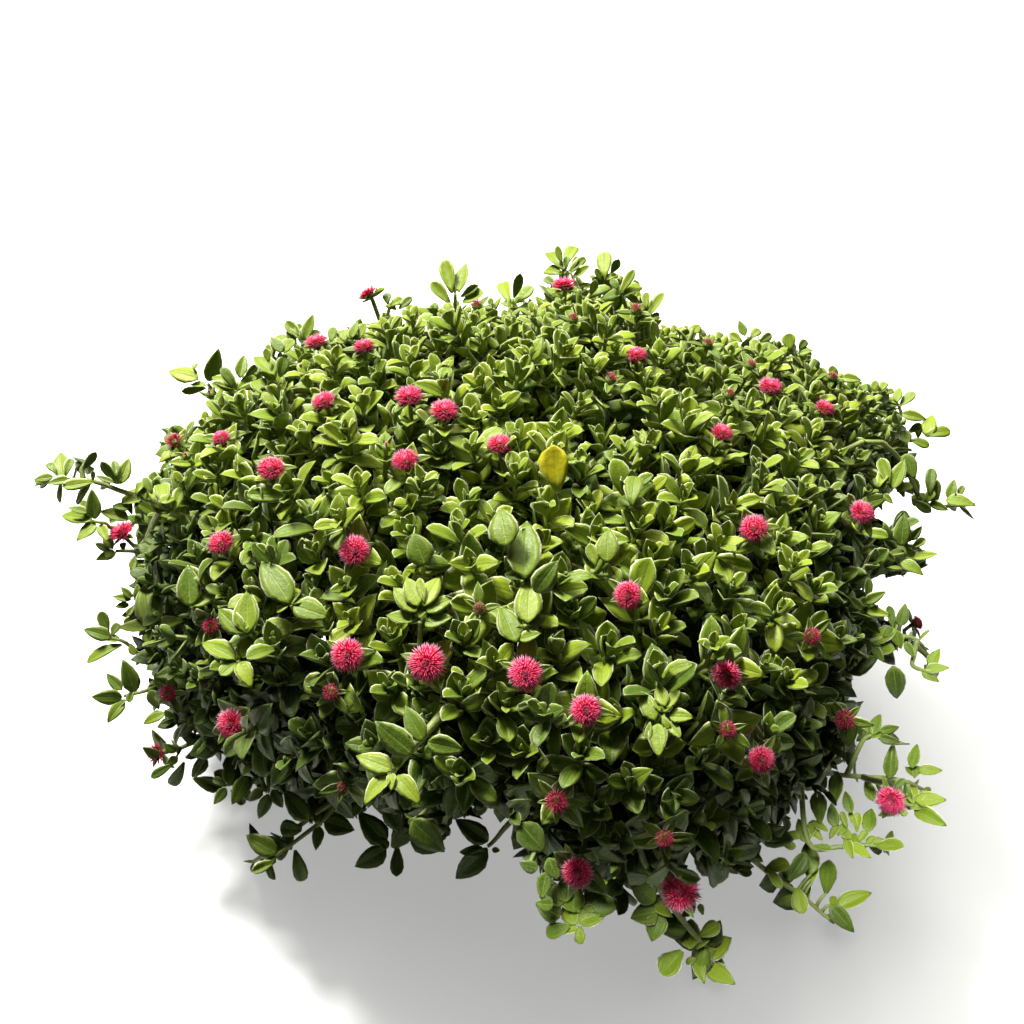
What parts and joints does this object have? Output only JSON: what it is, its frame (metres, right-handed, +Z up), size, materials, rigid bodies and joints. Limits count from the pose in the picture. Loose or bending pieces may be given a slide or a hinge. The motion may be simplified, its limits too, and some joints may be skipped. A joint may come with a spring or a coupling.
{
  "type": "potted heartleaf ice plant",
  "caption": "Low clay pot with a dense dome of fleshy heart-shaped leaves on trailing stems, dotted with small crimson many-petalled flowers.",
  "frame": {"origin": "centre of the pot's base, on the surface that it stands on", "axes": "+Z up out of the pot; -Y towards the front, where the plant leans out over the rim; +X to the right seen from the front"},
  "size_m": [0.5508, 0.4388, 0.3201],
  "materials": {
    "terracotta": "matte",
    "soil": "matte",
    "bark": "matte",
    "stem": "satin",
    "foliage": "satin",
    "petals": "satin"
  },
  "bodies": {
    "root": {"pot": "terracotta", "potting_soil": "soil", "root_crown": "bark", "main_stem_01": "stem", "main_stem_02": "stem", "main_stem_03": "stem", "main_stem_04": "stem", "main_stem_05": "stem", "main_stem_06": "stem", "main_stem_07": "stem", "main_stem_08": "stem", "main_stem_09": "stem", "main_stem_10": "stem", "trailing_stem_01": "foliage", "trailing_stem_02": "foliage", "trailing_stem_03": "foliage", "trailing_stem_04": "foliage", "trailing_stem_05": "foliage", "trailing_stem_06": "foliage", "trailing_stem_07": "foliage", "trailing_stem_08": "foliage", "top_branch_01": "foliage", "top_branch_02": "foliage", "top_branch_03": "foliage", "top_branch_04": "foliage", "top_branch_05": "foliage", "top_branch_06": "foliage", "top_branch_07": "foliage", "side_branch_01": "foliage", "side_branch_02": "foliage", "side_branch_03": "foliage", "side_branch_04": "foliage", "side_branch_05": "foliage", "side_branch_06": "foliage", "side_branch_07": "foliage", "side_branch_08": "foliage", "side_branch_09": "foliage", "hanging_branch_01": "foliage", "hanging_branch_02": "foliage", "hanging_branch_03": "foliage", "hanging_branch_04": "foliage", "hanging_branch_05": "foliage", "hanging_branch_06": "foliage", "hanging_branch_07": "foliage", "hanging_branch_08": "foliage", "hanging_branch_09": "foliage", "hanging_branch_10": "foliage", "low_branch_01": "foliage", "low_branch_02": "foliage", "low_branch_03": "foliage", "flower_01": "petals", "flower_02": "petals", "flower_03": "petals", "flower_04": "petals", "flower_05": "petals", "flower_06": "petals", "flower_07": "petals", "flower_08": "petals", "flower_09": "petals", "flower_10": "petals"}
  },
  "joints": []
}
